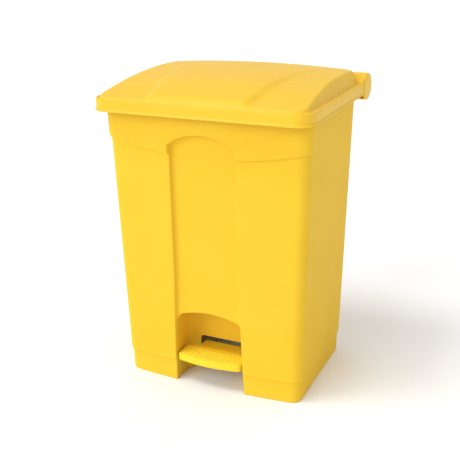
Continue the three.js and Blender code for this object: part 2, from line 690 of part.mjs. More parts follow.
// A bracket under the bin's floor that carries one end of the lever's axle.
function axleBracket(side) {
  const top = FLOOR_UNDER - 0.4;
  const eye = 12;
  const shape = new THREE.Shape();
  shape.moveTo(LEVER_Y - 24, top);
  shape.lineTo(LEVER_Y - 24, top - 6);
  shape.lineTo(LEVER_Y - eye, LEVER_Z);
  shape.absarc(LEVER_Y, LEVER_Z, eye, Math.PI, 0, false);
  shape.lineTo(LEVER_Y + 24, top - 6);
  shape.lineTo(LEVER_Y + 24, top);
  const x0 = side * BRACKET_X - BRACKET_HALF;
  let bracket = solid(alongX(shape, x0, x0 + 2 * BRACKET_HALF, 6));
  const [f0, f1] = side > 0 ? [x0, x0 + 30] : [x0 - 20, x0 + 10];
  bracket = bracket.add(solid(box(f0, f1, LEVER_Y - 24, LEVER_Y + 24, top - 4, top)));
  bracket = bracket.subtract(solid(shaft(x0 - 1, x0 + 11, LEVER_Y, LEVER_Z, 8.4)));
  for (const y of [LEVER_Y - 16, LEVER_Y + 16]) {
    bracket = bracket.subtract(solid(post(side * 64, y, top - 10, top + 5, 2.5, 12)));
  }
  return bracket;
}

// A flanged nylon bush in the bracket's eye.
function axleBush(side) {
  const inner = side * (BRACKET_X - BRACKET_HALF);
  const outer = side * (BRACKET_X + BRACKET_HALF);
  const span = (a, b) => [Math.min(a, b), Math.max(a, b)];
  let bush = solid(shaft(...span(inner, outer), LEVER_Y, LEVER_Z, 8));
  bush = bush.add(solid(shaft(...span(inner - side * 0.4, inner - side * 2.4), LEVER_Y, LEVER_Z, 10.5)));
  bush = bush.add(solid(shaft(...span(inner - side * 2, inner + side), LEVER_Y, LEVER_Z, 8)));
  return bush.subtract(solid(shaft(-80, 80, LEVER_Y, LEVER_Z, AXLE_RADIUS + GAP)));
}

// ---- Assembly ----

const sides = [
  ["left", -1],
  ["right", 1],
];

add("body_shell", bodyShell(), yellow);
add("lid_shell", lidShell(), yellow);
add("lid_link_bracket", lidBracket(), steel);
for (const [name, side] of sides) {
  add(`hinge_pin_${name}`, hingePin(side), steel);
  const bracketUnder = HINGE_Z + HOOD_RADIUS - LID_WALL - 2.9;
  add(`lid_bracket_screw_${name}`, screw(side * 19, HINGE_Y - 14, bracketUnder - 0.3, 3, 2), steel);
}

add("push_rod", pushRod(), steel);
add("top_pin", shaft(-15.5, 15.5, TOP_PIN_Y, TOP_PIN_Z, TOP_PIN_RADIUS, 16), steel);
add("link_pin", shaft(-38, 38, LINK_PIN_Y, LINK_PIN_Z, LINK_PIN_RADIUS), steel);
for (const [name, side] of sides) {
  add(`top_pin_clip_${name}`, clip(side * 13.5, TOP_PIN_Y, TOP_PIN_Z, TOP_PIN_RADIUS), steel);
  add(`link_pin_clip_${name}`, clip(side * 35, LINK_PIN_Y, LINK_PIN_Z, LINK_PIN_RADIUS), steel);
  add(`link_spacer_${name}`, linkSpacer(side), nylon);
}
for (const [name, z] of [["lower", 230], ["upper", 470]]) {
  const { guide, screwY } = rodGuide(z);
  add(`rod_guide_${name}`, guide, nylon);
  for (const [end, side] of sides) {
    add(`guide_screw_${name}_${end}`, guideScrew(side * 15.5, screwY, z), steel);
  }
}

const lever = leverFrame();
add("lever_frame", lever.frame, steel);
add("pedal_tread", pedalTread(lever.plateTop), yellow);
for (const [end, side] of sides) {
  for (const [row, y] of [["front", -150], ["rear", -110]]) {
    add(`pedal_screw_${row}_${end}`, screw(side * 38, y, lever.plateLow - 0.3, 5, 2), steel);
  }
}

add("pivot_axle", shaft(-62, 62, LEVER_Y, LEVER_Z, AXLE_RADIUS), steel);
for (const [name, side] of sides) {
  add(`axle_bracket_${name}`, axleBracket(side), steel);
  add(`axle_bush_${name}`, axleBush(side), nylon);
  add(`axle_cap_${name}`, clip(side * 58, LEVER_Y, LEVER_Z, AXLE_RADIUS, 2), steel);
  for (const [row, y] of [["front", LEVER_Y - 16], ["rear", LEVER_Y + 16]]) {
    add(`bracket_screw_${row}_${name}`, screw(side * 64, y, FLOOR_UNDER - 4.7, 4.2, 2), steel);
  }
}

export default bin;
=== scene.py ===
"""Looks for the pedal bin: moulded shells as rounded implicit solids, and zinc-plated steel for the linkage.

The shells are drawn in millimetres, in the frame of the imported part, and become meshes in metres.
"""

import json
import math

import bpy
import numpy as np
from mathutils import Matrix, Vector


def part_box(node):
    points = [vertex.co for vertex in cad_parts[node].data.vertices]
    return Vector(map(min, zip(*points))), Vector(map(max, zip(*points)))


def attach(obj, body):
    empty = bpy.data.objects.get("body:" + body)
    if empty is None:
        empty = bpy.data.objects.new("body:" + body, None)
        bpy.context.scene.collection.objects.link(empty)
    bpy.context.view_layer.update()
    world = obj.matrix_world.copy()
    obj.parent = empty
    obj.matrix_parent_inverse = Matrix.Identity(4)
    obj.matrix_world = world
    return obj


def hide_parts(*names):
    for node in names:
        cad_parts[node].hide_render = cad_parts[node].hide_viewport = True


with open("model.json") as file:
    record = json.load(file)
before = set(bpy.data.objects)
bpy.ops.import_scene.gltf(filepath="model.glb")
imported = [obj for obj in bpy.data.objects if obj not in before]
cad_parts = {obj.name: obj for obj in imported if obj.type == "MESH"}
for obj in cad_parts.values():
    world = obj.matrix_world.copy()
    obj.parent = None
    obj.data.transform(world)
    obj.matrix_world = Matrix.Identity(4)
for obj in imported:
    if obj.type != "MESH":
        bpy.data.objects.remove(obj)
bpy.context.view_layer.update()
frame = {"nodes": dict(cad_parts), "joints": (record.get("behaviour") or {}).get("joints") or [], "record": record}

MM = 0.001

# ---- Sizes from the frame ----


def span(node, axis):
    """Lowest and highest coordinate of a CAD node along an axis, in millimetres."""
    low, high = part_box(node)
    return low[axis] / MM, high[axis] / MM


def joint_at(name):
    """The (y, z) of a joint's axis, in millimetres."""
    joint = next(j for j in frame["joints"] if j["name"] == name)
    return joint["pos_m"][1] / MM, joint["pos_m"][2] / MM


HINGE_Y, HINGE_Z = joint_at("lid_hinge")
LID_HALF = span("lid_shell", 0)[1]
LID_FRONT = span("lid_shell", 1)[0]
LID_REAR = span("lid_shell", 1)[1]
FLANGE_HALF = span("body_shell", 0)[1]
FLANGE_FRONT = span("body_shell", 1)[0]
PEDAL_HALF = span("pedal_tread", 0)[1]
PEDAL_FRONT, PEDAL_REAR = span("pedal_tread", 1)
PEDAL_LOW, PEDAL_RIB_TOP = span("pedal_tread", 2)
LEVER_TOP = span("lever_frame", 2)[1]

# ---- Camera and light ----

CAMERA_AT = (0.690, -1.5397, 0.935)
CAMERA_YAW, CAMERA_PITCH, CAMERA_ROLL = 24.75, 20.25, -0.9  # degrees
CAMERA_LENS = 63.0


def make_camera():
    yaw, pitch, roll = (math.radians(a) for a in (CAMERA_YAW, CAMERA_PITCH, CAMERA_ROLL))
    turn = Matrix.Rotation(yaw, 4, "Z") @ Matrix.Rotation(math.pi / 2 - pitch, 4, "X")
    turn = turn @ Matrix.Rotation(roll, 4, "Z")
    data = bpy.data.cameras.new("camera")
    data.lens = CAMERA_LENS
    data.sensor_width = 36
    camera = bpy.data.objects.new("camera", data)
    camera.matrix_world = Matrix.Translation(CAMERA_AT) @ turn
    bpy.context.scene.collection.objects.link(camera)
    bpy.context.scene.camera = camera


def far_softbox(name, left, up, width, power):
    """A soft, far light, `left` degrees left of the front, `up` above the floor and `width` across."""
    data = bpy.data.lights.new(name, "SUN")
    data.angle = math.radians(width)
    data.energy = power
    lamp = bpy.data.objects.new(name, data)
    lamp.rotation_euler = (math.radians(90 - up), 0, math.radians(-left))
    bpy.context.scene.collection.objects.link(lamp)


def make_light():
    world = bpy.data.worlds.new("studio")
    world.use_nodes = True
    background = world.node_tree.nodes["Background"]
    background.inputs["Color"].default_value = (1, 1, 1, 1)
    background.inputs["Strength"].default_value = 0.77
    bpy.context.scene.world = world
    far_softbox("key_light", left=24, up=25, width=40, power=1.25)
    far_softbox("top_light", left=56, up=61, width=20, power=1.05)
    bpy.context.scene.view_settings.view_transform = "Standard"


def make_floor():
    size = 30  # metres, so that its edge stays far off
    mesh = bpy.data.meshes.new("floor")
    corners = [(-size, -size, 0), (size, -size, 0), (size, size, 0), (-size, size, 0)]
    mesh.from_pydata(corners, [], [(0, 1, 2, 3)])
    floor = bpy.data.objects.new("floor", mesh)
    bpy.context.scene.collection.objects.link(floor)
    material = bpy.data.materials.new("floor_white")
    material.use_nodes = True
    shader = material.node_tree.nodes["Principled BSDF"]
    shader.inputs["Base Color"].default_value = (0.94, 0.94, 0.94, 1)
    shader.inputs["Roughness"].default_value = 0.9
    mesh.materials.append(material)


# ---- Implicit solids ----
# A shape is a function of arrays x, y, z that is negative inside, and about a distance near its surface.

FAR = 1e3  # past every surface
SHARP = 0.01  # radius of an edge that is left sharp


def join(a, b, radius=SHARP):
    """Union, with a fillet of that radius."""
    fillet = np.hypot(np.maximum(radius - a, 0), np.maximum(radius - b, 0))
    return np.maximum(radius, np.minimum(a, b)) - fillet


def meet(a, b, radius=SHARP):
    """Intersection, with a rounded edge of that radius."""
    rounding = np.hypot(np.maximum(a + radius, 0), np.maximum(b + radius, 0))
    return np.minimum(-radius, np.maximum(a, b)) + rounding


def cut(a, b, radius=SHARP):
    """a without b, with a rounded edge of that radius."""
    return meet(a, -b, radius)


def slab(value, low, high, radius=SHARP):
    """The layer where value lies between low and high."""
    return meet(low - value, value - high, radius)


def smooth(value, low, high):
    """0 up to low, 1 from high, and an S-curve between."""
    t = np.clip((value - low) / (high - low), 0, 1)
    return t * t * (3 - 2 * t)


def plan(x, y, half, front, rear, corner):
    """A rounded rectangle in plan; front, rear and half may be arrays."""
    return meet(meet(np.abs(x) - half, front - y, corner), y - rear, corner)


def segment(u, v, start, end, radius_start, radius_end):
    """A round-ended bar between two points in a plane, whose radius changes evenly."""
    du, dv = end[0] - start[0], end[1] - start[1]
    share = np.clip(((u - start[0]) * du + (v - start[1]) * dv) / (du * du + dv * dv), 0, 1)
    reach = np.hypot(u - start[0] - share * du, v - start[1] - share * dv)
    return reach - radius_start - (radius_end - radius_start) * share


def stations(*stretches):
    """Grid lines through stretches of (start, end, step)."""
    lines = [np.linspace(a, b, max(2, round((b - a) / step) + 1))[:-1] for a, b, step in stretches]
    return np.concatenate(lines + [[stretches[-1][1]]])


# A cell's corners, and its edges as pairs of them.
CELL_CORNERS = np.array([(i, j, k) for i in (0, 1) for j in (0, 1) for k in (0, 1)])
CELL_EDGES = [
    (a, b) for a in range(8) for b in range(a + 1, 8)
    if np.abs(CELL_CORNERS[a] - CELL_CORNERS[b]).sum() == 1
]
SETTLE_ROUNDS = 4
SETTLE_STEP, NORMAL_STEP = 0.02, 0.3  # over which a slope is measured, either way
LEAST_STEEPNESS = 0.2  # keeps a point from being thrown far where the shape is flat


def surface_points(shape, grid, inside, values):
    """One point in each cell that the surface crosses, moved onto the surface, and its outward normal."""
    index = np.stack([c.ravel() for c in np.indices([n - 1 for n in values.shape])], 1)
    corner_inside = np.stack([inside[tuple((index + c).T)] for c in CELL_CORNERS], 1)
    crossed = corner_inside.any(1) & ~corner_inside.all(1)
    index = index[crossed]
    corner_value = np.stack([values[tuple((index + c).T)] for c in CELL_CORNERS], 1)
    corner_at = np.stack(
        [np.stack([grid[d][index[:, d] + c[d]] for d in range(3)], 1) for c in CELL_CORNERS], 1
    )
    total = np.zeros((len(index), 3))
    count = np.zeros(len(index))
    for a, b in CELL_EDGES:
        va, vb = corner_value[:, a], corner_value[:, b]
        hit = (va < 0) != (vb < 0)
        share = np.where(hit, va / np.where(hit, va - vb, 1), 0)[:, None]
        total += hit[:, None] * (corner_at[:, a] + share * (corner_at[:, b] - corner_at[:, a]))
        count += hit
    points = total / count[:, None]
    low, high = corner_at[:, 0], corner_at[:, 7]
    for _ in range(SETTLE_ROUNDS):
        slope = gradient(shape, points, SETTLE_STEP)
        value = shape(*points.T)[:, None]
        steepness = np.maximum((slope**2).sum(1, keepdims=True), LEAST_STEEPNESS)
        points = np.clip(points - value * slope / steepness, low, high)
    slope = gradient(shape, points, NORMAL_STEP)
    return index, points, slope / np.maximum(np.linalg.norm(slope, axis=1, keepdims=True), 1e-9)


def gradient(shape, points, step):
    columns = []
    for axis in np.eye(3) * step:
        columns.append((shape(*(points + axis).T) - shape(*(points - axis).T)) / (2 * step))
    return np.stack(columns, 1)


def mesh_shape(name, shape, half_x, y, z):
    """Meshes a left-right symmetrical shape by surface nets. half_x starts at 0."""
    grid = [np.concatenate([-half_x[:0:-1], half_x]), y, z]
    half = shape(*np.meshgrid(half_x, y, z, indexing="ij"))
    values = np.concatenate([half[:0:-1], half])
    inside = values < 0
    index, points, normals = surface_points(shape, grid, inside, values)
    cell = np.full([n - 1 for n in values.shape], -1)
    cell[tuple(index.T)] = np.arange(len(index))
    quads = []
    for axis in range(3):
        u, v = (axis + 1) % 3, (axis + 2) % 3
        near = np.take(inside, range(values.shape[axis] - 1), axis)
        far = np.take(inside, range(1, values.shape[axis]), axis)
        at = np.argwhere(near != far)
        within_u = (at[:, u] > 0) & (at[:, u] < values.shape[u] - 1)
        within_v = (at[:, v] > 0) & (at[:, v] < values.shape[v] - 1)
        at = at[within_u & within_v]
        shift_u, shift_v = np.eye(3, dtype=int)[u], np.eye(3, dtype=int)[v]
        round_the_edge = (0 * shift_u, shift_u, shift_u + shift_v, shift_v)
        ring = np.stack([cell[tuple((at - shift).T)] for shift in round_the_edge], 1)
        outward = near[tuple(at.T)]
        quads.append(np.where(outward[:, None], ring, ring[:, ::-1]))
    faces = np.concatenate(quads)
    mesh = bpy.data.meshes.new(name)
    mesh.from_pydata((points * MM).tolist(), [], faces.tolist())
    mesh.polygons.foreach_set("use_smooth", np.ones(len(faces), bool))
    mesh.normals_split_custom_set_from_vertices(normals.tolist())
    piece = bpy.data.objects.new(name, mesh)
    bpy.context.scene.collection.objects.link(piece)
    return piece


# ---- Body ----

WALL = 4
BODY_HALF, BODY_FRONT, BODY_REAR = 206, -154, 128.5  # at the floor
TAPER = 620  # by this height each side has moved out by the next three
TAPER_HALF, TAPER_FRONT, TAPER_REAR = 15, 10.3, 12
BODY_TOP = 625
BODY_CORNER = 22
FRONT_BOW = 12  # how far the front bulges in its middle
FLOOR_UNDER = 84
PLINTH_TOP = 49
PLINTH_IN = 3  # how far the plinth is set in
PLINTH_STEP = 1.5  # it is set in over this height, either way

BAND_OUT = 5
BAND_LOW = 519  # its lower edge at the middle of the front
BAND_RISE, BAND_HALF = 22, 207  # how much higher that edge is, this far from the middle
BAND_EDGE = 6  # height over which the lower edge is rounded
BAND_FADE = -158, -118  # along the sides it dies out between these

RECESS_HEIGHTS, RECESS_HALVES = (0, 250, 542), (81, 73, 71)
RECESS_ARCH_Z, RECESS_ARCH_RADIUS = 438.4, 125.6
RECESS_FLOOR, RECESS_FOOT = -157, 148  # where its floor is up to that height
RECESS_FLOOR_OUT, RECESS_RUN = 6.5, 416  # how far the floor moves forward over this height above it
RECESS_DEPTH = 7
RECESS_LEAN = 0.35  # how far its side walls lean for each millimetre of depth

NICHE_HALF, NICHE_TOP, NICHE_BACK = 75, 174, -85
NICHE_SPREAD, NICHE_SPREAD_FROM, NICHE_SPREAD_OVER = 6, 148, 153  # it widens downwards
NICHE_ROOF_DROP, NICHE_ROOF_HALF = 15, 78
NICHE_SHOULDER, NICHE_ROUND = 14, 33  # radii at its top corners and round its back
CHANNEL_HALF, CHANNEL_DEPTH = 46, 10
FLANGE_REAR, FLANGE_CORNER, FLANGE_THICK = 142, 34, 5
EAR_INNER, EAR_OUTER = 188, 204
EAR_RADIUS, EAR_FOOT_RADIUS = 10, 14
EAR_FOOT = BODY_REAR + 4, HINGE_Z - 10
EAR_FROM = BODY_REAR + 9  # nothing of it is further forward
PIN_HOLE = 4.5
FRONT_NOTCH_HALF, FRONT_NOTCH_TOP = 56, 79
FRONT_NOTCH_Y = NICHE_BACK - 40, NICHE_BACK + 20  # from inside the niche to inside the base
REAR_NOTCH_TOP, REAR_NOTCH_FRONT = 80, 104.5


def body_walls(x, y, z, out=0.0):
    """The body's leaning walls without end, moved out by `out`."""
    share = z / TAPER
    half = BODY_HALF + TAPER_HALF * share
    bow = FRONT_BOW * np.clip(1 - (x / half) ** 2, 0, 1)
    front = BODY_FRONT - TAPER_FRONT * share - bow
    rear = BODY_REAR + TAPER_REAR * share
    return plan(x, y, half + out, front - out, rear + out, BODY_CORNER + out)


def band(x, y, z):
    """How much of the band under the lid there is: 1 on it and 0 off it."""
    above = np.clip((z - BAND_LOW - BAND_RISE * (x / BAND_HALF) ** 2) / BAND_EDGE, 0, 1)
    return np.sqrt(above * (2 - above)) * (1 - smooth(y, *BAND_FADE))


def recess(x, y, z):
    """The arched recess down the front."""
    half = np.interp(z, RECESS_HEIGHTS, RECESS_HALVES)
    arch = np.hypot(x, z - RECESS_ARCH_Z) - RECESS_ARCH_RADIUS
    outline = meet(np.abs(x) - half, np.where(z > RECESS_ARCH_Z, arch, -FAR), 0.5)
    floor_y = RECESS_FLOOR - RECESS_FLOOR_OUT * np.clip((z - RECESS_FOOT) / RECESS_RUN, 0, 1)
    lean = RECESS_LEAN * (y - floor_y + RECESS_DEPTH)
    return meet(outline + lean, y - floor_y, 5)


def niche(x, y, z):
    """The foot niche, rounded off towards its back."""
    half = NICHE_HALF + NICHE_SPREAD * np.clip((NICHE_SPREAD_FROM - z) / NICHE_SPREAD_OVER, 0, 1)
    roof = z - NICHE_TOP + NICHE_ROOF_DROP * (x / NICHE_ROOF_HALF) ** 2
    outline = meet(np.abs(x) - half, roof, NICHE_SHOULDER)
    return meet(outline, y - NICHE_BACK, NICHE_ROUND)


def rod_channel(x, y, z):
    """The channel for the push rod, down the back."""
    floor_y = BODY_REAR + TAPER_REAR * z / TAPER - CHANNEL_DEPTH
    return meet(np.abs(x) - CHANNEL_HALF, floor_y - y, 3)


def rim_flange(x, y, z):
    """The flange round the mouth, hidden by the closed lid."""
    outline = plan(x, y, FLANGE_HALF, FLANGE_FRONT, FLANGE_REAR, FLANGE_CORNER)
    outline = meet(outline, y - FLANGE_REAR, 1.5)
    return meet(outline, slab(z, BODY_TOP - FLANGE_THICK, BODY_TOP, 1), 1.5)


def hinge_ears(x, y, z):
    """The two ears that hold the hinge pins."""
    ear = segment(y, z, (HINGE_Y, HINGE_Z), EAR_FOOT, EAR_RADIUS, EAR_FOOT_RADIUS)
    ear = meet(ear, slab(np.abs(x), EAR_INNER, EAR_OUTER, 1), 1.5)
    return meet(ear, EAR_FROM - y)


def notches(x, y, z):
    """The ways through the base for the lever, at the front and at the rear."""
    front = meet(np.abs(x) - FRONT_NOTCH_HALF, z - FRONT_NOTCH_TOP, 6)
    front = meet(front, slab(y, *FRONT_NOTCH_Y), 0.5)
    rear = meet(np.abs(x) - CHANNEL_HALF, z - REAR_NOTCH_TOP, 6)
    return front, meet(rear, REAR_NOTCH_FRONT - y, 0.5)


def body_shape(x, y, z):
    walls = body_walls(x, y, z) - BAND_OUT * band(x, y, z)
    above_plinth = smooth(z, PLINTH_TOP - PLINTH_STEP, PLINTH_TOP + PLINTH_STEP)
    outside = walls + PLINTH_IN * (1 - above_plinth)
    outside = meet(outside, slab(z, 0, BODY_TOP), 2.5)
    outside = join(outside, rim_flange(x, y, z), 3)
    recess_at, niche_at, channel_at = recess(x, y, z), niche(x, y, z), rod_channel(x, y, z)
    outside = cut(outside, recess_at, 1.6)
    outside = cut(outside, niche_at, 2.5)
    behind = np.minimum(np.minimum(recess_at, niche_at), np.where(z > PLINTH_TOP, channel_at, FAR))
    inside = meet(body_walls(x, y, z, -WALL), WALL - behind, 3)
    inside = meet(inside, FLOOR_UNDER + WALL - z, 6)
    under = meet(body_walls(x, y, z, -WALL - PLINTH_IN), WALL - behind, 2)
    under = meet(under, z - FLOOR_UNDER, 3)
    shell = cut(cut(outside, inside, 1), under, 1)
    shell = cut(shell, meet(channel_at, PLINTH_TOP - z, 3), 3)
    for notch in notches(x, y, z):
        shell = cut(shell, notch, 1.2)
    shell = join(shell, hinge_ears(x, y, z), 2)
    return cut(shell, np.hypot(y - HINGE_Y, z - HINGE_Z) - PIN_HOLE, 0.6)


def make_body():
    # Each stretch is (start, end, step). Steps are small where a wall turns, since a cell as wide as the
    # wall is thick would tear it.
    half_x = stations(
        (0, 42, 8), (42, 52, 2), (52, 62, 3.4), (62, 92, 2.15), (92, 182, 15), (182, 206, 2), (206, 234, 2.4),
    )
    y = stations(
        (-204, -184, 2.9), (-184, -150, 1.9), (-150, -130, 2.2), (-130, -120, 5), (-120, -76, 2.75),
        (-76, 100, 15), (100, 146, 2.5), (146, 188, 3.8),
    )
    z = stations(
        (-4, 12, 2), (12, 44, 8), (44, 54, 2), (54, 82, 4), (82, 92, 2.5), (92, 138, 7.7), (138, 182, 2.7),
        (182, 508, 20), (508, 514, 2), (514, 546, 1.3), (546, 570, 2.4), (570, 600, 6), (600, 632, 2.3),
    )
    return mesh_shape("moulded_body", body_shape, half_x, y, z)


# ---- Lid ----

LID_WALL = 3.5
BEAD_OUT, BEAD_HEIGHT = 2.2, 4  # the bead round the rim's lower edge
RIM_HALF = LID_HALF - BEAD_OUT
RIM_FRONT = LID_FRONT + BEAD_OUT
RIM_LOW = 604
HOLLOW_LOW = 598  # the hollow starts a little below the rim
RIM_TOP = 630
RIM_CORNER = 36
HOOD_RADIUS = LID_REAR - HINGE_Y
HOOD_RAMP, RAMP_START = 0.577, 138  # slope of the ledge's ramp at the ends, and where it starts
LEDGE_RISE = -20, 143  # in the middle the ledge rises evenly between these
LEDGE_BLEND = 188, 212  # how far out the middle turns into the ends
LIP_IN, LIP_DOWN = 12.3, 26.3  # where the hooked ends stop, from the hinge
LIP_ACROSS = 17.7, 21.6  # the lip's cut: its fall, and its length
MOUTH_LEAN = 0.906, 0.423  # cosine and sine of the 25 degrees that the roll's mouth leans by
KNUCKLE_INNER = 207.5
KNUCKLE_RADIUS = 9
PIN_HOLE_SPAN = 206, 229

DOME_FRONT, DOME_REAR = -196, 152
DOME_HALF = 222  # where the dome leaves the rim
DOME_CORNER = 28
DOME_LEAN = 3  # its sides come in by a millimetre for every three upwards
DOME_FOOT = 612  # its solid starts here, inside the rim
DOME_PEAK_Y, DOME_PEAK_Z = 45, 660.5
DOME_DROP, DOME_REACH = 28.5, 242.5  # the top is lower by the first at the second from its peak
DOME_CROWN, DOME_CROWN_HALF = 7.7, 212
TOP_STEEPNESS = 0.97  # turns a height over the sloping top into about a distance
GROOVE_RADIUS, GROOVE_OUT = 1.8, 3.5  # the groove round the dome's foot
GROOVE_REAR = 134  # it goes no further back

PANEL_FRONT = -197
PANEL_HALF, PANEL_FLARE = 103, 0.163  # at the front, and its widening for each millimetre rearwards
PANEL_RISE = 8
PANEL_FADE, PANEL_LENGTH = 0.87, 272  # the share of that height lost over this length
PANEL_SLOPE = -199, -176  # its front slope
PANEL_EDGE_IN, PANEL_EDGE_OUT = 11, 10  # its side slopes, from half its width
CROWN_LENGTH = 110  # the crown grows from nothing over this length


def dome_top(x, y):
    """Height of the dome's top over (x, y)."""
    edge = DOME_PEAK_Z - DOME_DROP * ((y - DOME_PEAK_Y) / DOME_REACH) ** 2
    rise = smooth(y, PANEL_FRONT, PANEL_FRONT + CROWN_LENGTH)
    crown = DOME_CROWN * rise * (1 - (x / DOME_CROWN_HALF) ** 2)
    half = PANEL_HALF + PANEL_FLARE * (y - PANEL_FRONT)
    fade = np.clip(1 - PANEL_FADE * (y - PANEL_FRONT) / PANEL_LENGTH, 0, 1)
    panel = PANEL_RISE * fade * smooth(y, *PANEL_SLOPE)
    return edge + crown + panel * (1 - smooth(np.abs(x), half - PANEL_EDGE_IN, half + PANEL_EDGE_OUT))


def dome(x, y, z, inset=0.0):
    half = DOME_HALF - (z - RIM_TOP) / DOME_LEAN
    footprint = meet(np.abs(x) - half + inset, DOME_FRONT + inset - y, DOME_CORNER - inset)
    footprint = meet(footprint, y - DOME_REAR + inset, DOME_CORNER - inset)
    above_top = (z - dome_top(x, y)) * TOP_STEEPNESS
    return meet(meet(footprint, above_top + inset, 4), DOME_FOOT - z)


def ledge_height(x, y):
    """The rim's top. At the ends it is level and then ramps up to the roll over the hinge."""
    top = HINGE_Z + HOOD_RADIUS
    in_middle = np.interp(y, LEDGE_RISE, [RIM_TOP, top])
    at_ends = np.clip(RIM_TOP + (y - RAMP_START) * HOOD_RAMP, RIM_TOP, top)
    return in_middle + (at_ends - in_middle) * smooth(np.abs(x), *LEDGE_BLEND)


def hinge_roll(x, y, z):
    """The outside of the roll over the hinge. Its ends hook down round the pins."""
    roll = meet(np.hypot(y - HINGE_Y, z - HINGE_Z) - HOOD_RADIUS, np.abs(x) - LID_HALF, 3)
    lip_y, lip_z = HINGE_Y - LIP_IN, HINGE_Z - LIP_DOWN
    fall, length = LIP_ACROSS
    below_lip = -((y - lip_y) * LIP_IN + (z - lip_z) * fall) / length
    roll = meet(roll, below_lip, 1)
    return cut(roll, np.maximum(np.abs(x) - KNUCKLE_INNER, z - RIM_LOW), 1.5)


def lid_hollow(x, y, z):
    """The air under the lid: below the ledge, inside the roll, at the roll's mouth and in the dome."""
    rim = plan(x, y, RIM_HALF - LID_WALL, RIM_FRONT + LID_WALL, FAR, RIM_CORNER - LID_WALL)
    u, v = y - HINGE_Y, z - HINGE_Z
    under_rim = meet(rim, meet(z - ledge_height(x, y) + LID_WALL, u), 3)
    under_rim = np.maximum(under_rim, HOLLOW_LOW - z)
    sides = np.abs(x) - RIM_HALF + LID_WALL
    in_roll = np.maximum(np.hypot(u, v) - HOOD_RADIUS + LID_WALL, sides)
    along, up = MOUTH_LEAN
    mouth = np.maximum(along * u - up * v, v)
    mouth = np.maximum(mouth, np.maximum(sides, -HOOD_RADIUS - 1 - u))
    hollow = np.minimum(np.minimum(under_rim, in_roll), mouth)
    return np.minimum(hollow, np.maximum(dome(x, y, z, LID_WALL), rim))


def bead(rim, y, z):
    """The bead round the rim's lower edge, which ends at the roll."""
    height = slab(z, RIM_LOW, RIM_LOW + BEAD_HEIGHT, 1.9)
    return meet(rim - BEAD_OUT, np.maximum(height, y - HINGE_Y + HOOD_RADIUS), 1.9)


def groove(x, y, z, ledge):
    """The groove in the ledge round the dome's foot."""
    line = plan(x, y, DOME_HALF + GROOVE_OUT, DOME_FRONT - GROOVE_OUT, FAR, DOME_CORNER + GROOVE_OUT)
    return np.maximum(np.hypot(line, z - ledge) - GROOVE_RADIUS, y - GROOVE_REAR)


def lid_shape(x, y, z):
    ledge = ledge_height(x, y)
    rim = plan(x, y, RIM_HALF, RIM_FRONT, FAR, RIM_CORNER)
    outside = meet(rim, slab(z, RIM_LOW, ledge), 3.5)
    outside = np.maximum(outside, y - HINGE_Y)
    outside = join(outside, hinge_roll(x, y, z), 0.8)
    outside = join(outside, bead(rim, y, z), 2)
    outside = cut(outside, groove(x, y, z, ledge), 1)
    outside = join(outside, dome(x, y, z), 2)
    shell = cut(outside, lid_hollow(x, y, z), 1.2)
    from_pin = np.hypot(y - HINGE_Y, z - HINGE_Z)
    knuckle = meet(from_pin - KNUCKLE_RADIUS, slab(np.abs(x), KNUCKLE_INNER, RIM_HALF - 1), 1)
    shell = join(shell, knuckle, 1.5)
    return cut(shell, np.maximum(from_pin - PIN_HOLE, slab(np.abs(x), *PIN_HOLE_SPAN)), 0.6)


def make_lid():
    half_x = stations((0, 92, 9), (92, 162, 2.1), (162, 186, 6), (186, 240, 1.5))
    y = stations((-208, -176, 1.4), (-176, 130, 3.4), (130, 208, 2))
    z = stations((586, 604, 2), (604, 612, 1.2), (612, 674, 1.6))
    return mesh_shape("moulded_lid", lid_shape, half_x, y, z)


# ---- Pedal ----

RIBS = 5
RIB_PITCH = 8.6
RIB_HEIGHT = 1.6
PEDAL_TOP = PEDAL_RIB_TOP - RIB_HEIGHT
PEDAL_WALL = 3.2
PEDAL_BOW = 9  # how far its front bulges in the middle
PLATE_REAR = -115  # behind this only the tongue goes on
TONGUE_HALF = 50
TONGUE_SINK = 1  # how far its top starts below the plate's
TONGUE_FALL, TONGUE_FALL_Y = 4.5, (-118, -88)  # how much further it falls, and between where
TONGUE_FRONT = PLATE_REAR - 10  # it reaches this far under the plate
LEVER_GAP = 0.4
LEVER_WAY_HALF, LEVER_WAY_Y = 44, (PLATE_REAR - 10, PLATE_REAR + 7)  # the lever's way in
SCREW_X, SCREW_YS, SCREW_HOLE = 38, (-150, -110), 2.4
SCREW_SKIN = 1.5  # plastic left over each screw hole


def ribs(x, from_front):
    """Height of the ribs across the pedal, from 0 between them to 1 along their tops."""
    ridge = (0.5 + 0.5 * np.cos(2 * np.pi * (from_front / RIB_PITCH - 0.75))) ** 1.5
    ridge *= (from_front > RIB_PITCH * 0.25) & (from_front < RIB_PITCH * (RIBS + 0.25))
    return ridge * smooth(PEDAL_HALF - np.abs(x), 4, 9)


